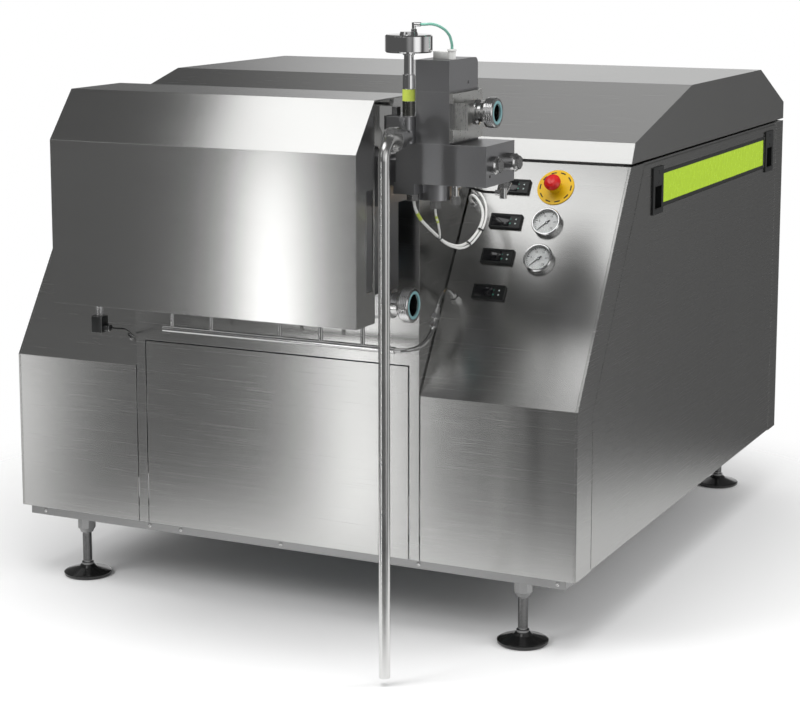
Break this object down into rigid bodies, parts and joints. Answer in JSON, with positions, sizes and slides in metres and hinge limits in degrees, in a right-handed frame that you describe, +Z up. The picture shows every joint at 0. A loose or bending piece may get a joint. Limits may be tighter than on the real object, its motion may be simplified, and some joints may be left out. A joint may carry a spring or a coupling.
{
  "type": "dairy homogenizer",
  "caption": "Plunger-pump dairy homogenizer in a stainless cabinet on levelling feet, with a hinged pump cover, stacked valve blocks, relief pipe and an instrument panel.",
  "frame": {"origin": "on the floor, under the middle of the whole machine's box", "axes": "+Z up, the pump and its cover face -Y, the instrument panel is on the +X half of the front"},
  "size_m": [1.508, 1.99, 1.4315],
  "materials": {
    "panel_steel": "fine-brushed stainless sheet",
    "frame_steel": "matt stainless tube",
    "bright_steel": "turned bright stainless",
    "light_steel": "ground stainless",
    "block_steel": "satin machined stainless",
    "polished_steel": "polished",
    "case_paint": "semi-gloss grey paint",
    "motor_paint": "semi-gloss blue-grey paint",
    "pulley_iron": "machined grey iron",
    "belt_rubber": "matt black",
    "foot_rubber": "matt black",
    "dial_white": "matt white dial",
    "needle_black": "matt black",
    "black_plastic": "fine-textured black",
    "yellow_plastic": "signal yellow",
    "red_plastic": "signal red",
    "lime_plastic": "lime",
    "mint_tube": "translucent mint tube",
    "white_cable": "white sheath",
    "black_cable": "black sheath"
  },
  "bodies": {
    "machine": {"machine_frame": "frame_steel", "foot_pads": "foot_rubber", "foot_stems": "bright_steel", "left_side_wall": "panel_steel", "right_side_wall": "panel_steel", "left_front_panel": "panel_steel", "right_front_panel": "panel_steel", "centre_front_panel": "panel_steel", "pump_box": "panel_steel", "hood": "panel_steel", "rear_panel": "panel_steel", "crankcase": "case_paint", "drive_motor": "motor_paint", "drive_belts": "belt_rubber", "pump_block": "block_steel", "suction_manifold": "bright_steel", "inlet_union": "bright_steel", "outlet_union": "bright_steel", "pump_valve_caps": "bright_steel", "plunger_glands": "bright_steel", "valve_lower_block": "block_steel", "valve_middle_block": "block_steel", "valve_upper_block": "block_steel", "outlet_block": "light_steel", "relief_body": "block_steel", "relief_union": "bright_steel", "relief_pipe": "bright_steel", "valve_fittings": "bright_steel", "valve_spindle": "bright_steel", "valve_actuator": "polished_steel", "air_fittings": "polished_steel", "cooling_pipe": "bright_steel", "cooling_fittings": "bright_steel", "gauge_cases": "polished_steel", "gauge_dials": "dial_white", "controllers": "black_plastic", "estop_plate": "yellow_plastic", "cable_glands": "polished_steel", "cover_hinges": "bright_steel", "pump_sensor": "bright_steel", "air_tube": "mint_tube", "sensor_cable": "white_cable", "branch_cable": "white_cable", "sensor_lead": "black_cable", "plug_lead": "black_cable"},
    "pump_cover": {"pump_cover": "panel_steel"},
    "left_door": {"left_side_door": "panel_steel", "left_accent_strip": "lime_plastic", "left_door_grips": "black_plastic"},
    "right_door": {"right_side_door": "panel_steel", "right_accent_strip": "lime_plastic", "right_door_grips": "black_plastic"},
    "left_plunger": {"left_plunger": "polished_steel"},
    "centre_plunger": {"centre_plunger": "polished_steel"},
    "right_plunger": {"right_plunger": "polished_steel"},
    "motor_rotor": {"motor_shaft": "pulley_iron"},
    "input_drive": {"input_shaft": "pulley_iron"},
    "stop_button": {"estop_button": "red_plastic"},
    "upper_needle": {"upper_gauge_needle": "needle_black"},
    "lower_needle": {"lower_gauge_needle": "needle_black"}
  },
  "joints": [
    {"name": "cover_hinge", "type": "hinge", "parent": "machine", "child": "pump_cover", "pos_m": [-0.018, -0.706, 1.248], "axis": [-1, 0, 0], "range_deg": [0, 85]},
    {"name": "left_door_pull", "type": "slide", "parent": "machine", "child": "left_door", "axis": [-1, 0, 0], "range_m": [0, 0.25]},
    {"name": "right_door_pull", "type": "slide", "parent": "machine", "child": "right_door", "axis": [1, 0, 0], "range_m": [0, 0.25]},
    {"name": "left_plunger_stroke", "type": "slide", "parent": "machine", "child": "left_plunger", "axis": [0, 1, 0], "range_m": [-0.00402, 0.05598]},
    {"name": "centre_plunger_stroke", "type": "slide", "parent": "machine", "child": "centre_plunger", "axis": [0, 1, 0], "range_m": [-0.03, 0.03]},
    {"name": "right_plunger_stroke", "type": "slide", "parent": "machine", "child": "right_plunger", "axis": [0, 1, 0], "range_m": [-0.05598, 0.00402]},
    {"name": "input_spin", "type": "hinge", "parent": "machine", "child": "input_drive", "pos_m": [-0.52, -0.23, 0.64], "axis": [1, 0, 0], "continuous": true},
    {"name": "motor_spin", "type": "hinge", "parent": "machine", "child": "motor_rotor", "pos_m": [-0.52, 0.52, 0.525], "axis": [1, 0, 0], "continuous": true},
    {"name": "stop_press", "type": "slide", "parent": "machine", "child": "stop_button", "axis": [0, 0.8405, -0.5418], "range_m": [0, 0.006], "stiffness_N_per_m": 400, "springref_m": -0.004},
    {"name": "upper_needle_sweep", "type": "hinge", "parent": "machine", "child": "upper_needle", "pos_m": [0.577, -0.42076, 0.95455], "axis": [0, 0.8405, -0.5418], "range_deg": [0, 270]},
    {"name": "lower_needle_sweep", "type": "hinge", "parent": "machine", "child": "lower_needle", "pos_m": [0.577, -0.4706, 0.87722], "axis": [0, 0.8405, -0.5418], "range_deg": [0, 270]}
  ],
  "couplings": [
    {"joint": "motor_spin", "follows": "input_spin", "ratio": 2.3}
  ]
}
